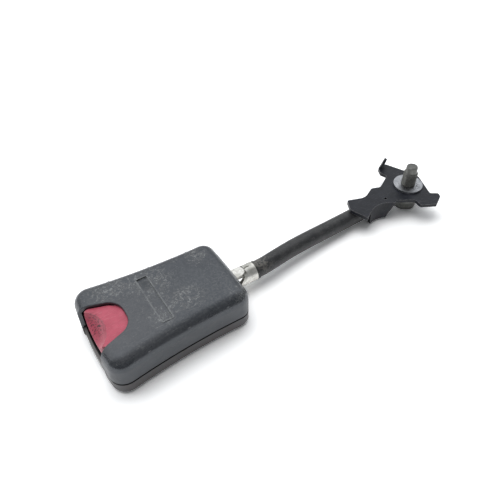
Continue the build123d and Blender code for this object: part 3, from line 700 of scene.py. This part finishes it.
def wire_ring(mesh, centre, outward):
    """The wire's cross-section, in the plane of X and the way out from the coil's axis."""
    ring = []
    for corner in range(WIRE_SIDES):
        turn = 2 * math.pi * corner / WIRE_SIDES
        offset = math.cos(turn) * outward + Vector((math.sin(turn), 0, 0))
        ring.append(mesh.verts.new(centre + WIRE_RADIUS * offset))
    return ring


def round_spring(name, node, across, turns):
    """Round wire coils in place of a node's square ones.

    across lists the coils' distances from the part's middle plane.
    """
    low, high = (Vector(corner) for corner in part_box(node))
    start, end = low.x + WIRE_RADIUS, high.x - WIRE_RADIUS
    radius = (high.z - low.z) / 2 - WIRE_RADIUS
    height = (low.z + high.z) / 2
    steps = turns * TURN_STEPS
    mesh = bmesh.new()
    for offset in across:
        rings = []
        for step in range(steps + 1):
            angle = 2 * math.pi * step / TURN_STEPS
            outward = Vector((0, math.cos(angle), math.sin(angle)))
            share = step / steps
            axis = Vector((start + (end - start) * share, AXIS_Y + offset, height))
            rings.append(wire_ring(mesh, axis + radius * outward, outward))
        skin(mesh, rings)
    spring = to_object(name, mesh)
    spring.data.materials.append(SLOT_MATERIALS["spring_steel"])
    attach(spring, "buckle")
    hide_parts(node)
    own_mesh(spring)


# --- studio -------------------------------------------------------------------------
CAMERA_PLACE = (-0.2634, -0.1991, 0.2489)
CAMERA_PITCH = 44.152
CAMERA_HEADING = -32.472
CAMERA_LENS = 38.88  # mm, on a sensor 36 mm wide
CAMERA_SENSOR = 36
CAMERA_NEAR = 0.01
FLOOR_HALF = 6.0
FLOOR_ROUGHNESS = 0.9
FLOOR_GREY = 0.8  # what lights the part
FLOOR_WHITE = 1.4  # what the camera and mirror-like surfaces see
KEY_PLACE = (-0.24, 0.16, 1.08)
KEY_TARGET = (-0.15, 0.0, 0.0)
KEY_SIZE = 0.8
KEY_POWER = 5.4
ROOM_LIGHT = 0.26
WINDOW_LIGHT = 1.15
WINDOW_SIDE = (0.2, 0.98, 0)  # way to the pale wall
SKY_COLOUR = (0.96, 0.98, 1.0, 1)


def studio_floor():
    """White floor that keeps the shadow; it looks paler than the light it throws back."""
    data = bpy.data.meshes.new("floor")
    near, far = -FLOOR_HALF, FLOOR_HALF
    corners = [(near, near), (far, near), (far, far), (near, far)]
    data.from_pydata([(x, y, FLOOR_Z) for x, y in corners], [], [(0, 1, 2, 3)])
    floor = bpy.data.objects.new("floor", data)
    bpy.context.scene.collection.objects.link(floor)
    material = bpy.data.materials.new("floor")
    material.use_nodes = True
    nodes = Nodes(material.node_tree)
    shader = nodes.tree.nodes["Principled BSDF"]
    shader.inputs["Roughness"].default_value = FLOOR_ROUGHNESS
    shader.inputs["Specular IOR Level"].default_value = 0.0
    path = nodes.node("ShaderNodeLightPath")
    seen = path.outputs["Is Camera Ray"]
    for ray in ("Is Glossy Ray", "Is Transmission Ray"):
        seen = nodes.maths("MAXIMUM", seen, path.outputs[ray])
    shade = nodes.mix(seen, (FLOOR_GREY,) * 3, (FLOOR_WHITE,) * 3)
    nodes.feed(shader.inputs["Base Color"], shade)
    data.materials.append(material)


def key_lamp():
    """A square soft box above the part that leaves no reflection of its own."""
    lamp = bpy.data.lights.new("key", "AREA")
    lamp.shape = "SQUARE"
    lamp.size = KEY_SIZE
    lamp.energy = KEY_POWER
    holder = bpy.data.objects.new("key", lamp)
    holder.location = KEY_PLACE
    towards = Vector(KEY_TARGET) - Vector(KEY_PLACE)
    holder.rotation_euler = towards.to_track_quat("-Z", "Y").to_euler()
    holder.visible_glossy = False
    bpy.context.scene.collection.objects.link(holder)


def studio_world():
    """Dim room with a pale wall and ceiling beyond the part; the camera sees it white."""
    world = bpy.data.worlds.new("studio")
    bpy.context.scene.world = world
    world.use_nodes = True
    nodes = Nodes(world.node_tree)
    way = nodes.node("ShaderNodeTexCoord").outputs["Generated"]
    beyond = nodes.vector_maths("DOT_PRODUCT", way, WINDOW_SIDE)["Value"]
    height = nodes.coordinates(way)["Z"]
    window = nodes.product(nodes.ramp(beyond, 0.0, 0.25), nodes.ramp(height, 0.2, 0.6))
    level = nodes.maths("MULTIPLY_ADD", window, WINDOW_LIGHT, ROOM_LIGHT)
    seen = nodes.node("ShaderNodeLightPath").outputs["Is Camera Ray"]
    background = nodes.tree.nodes["Background"]
    background.inputs["Color"].default_value = SKY_COLOUR
    nodes.feed(background.inputs["Strength"], nodes.maths("MAXIMUM", level, seen))


def studio_camera():
    """The photo's camera, solved from its perspective."""
    camera = bpy.data.cameras.new("camera")
    camera.lens = CAMERA_LENS
    camera.sensor_width = CAMERA_SENSOR
    camera.clip_start = CAMERA_NEAR
    holder = bpy.data.objects.new("camera", camera)
    holder.location = CAMERA_PLACE
    holder.rotation_euler = (math.radians(CAMERA_PITCH), 0, math.radians(CAMERA_HEADING))
    bpy.context.scene.collection.objects.link(holder)
    bpy.context.scene.camera = holder


dress_nodes()
threaded_bolt()
round_spring(
    "round_button_springs", "button_springs", across=(-BUTTON_SPRING_Y, BUTTON_SPRING_Y),
    turns=5,
)
round_spring(
    "round_ejector_spring", "ejector_spring", across=(0.0,),
    turns=7,
)
studio_floor()
key_lamp()
studio_world()
studio_camera()
bpy.context.scene.view_settings.view_transform = "Standard"
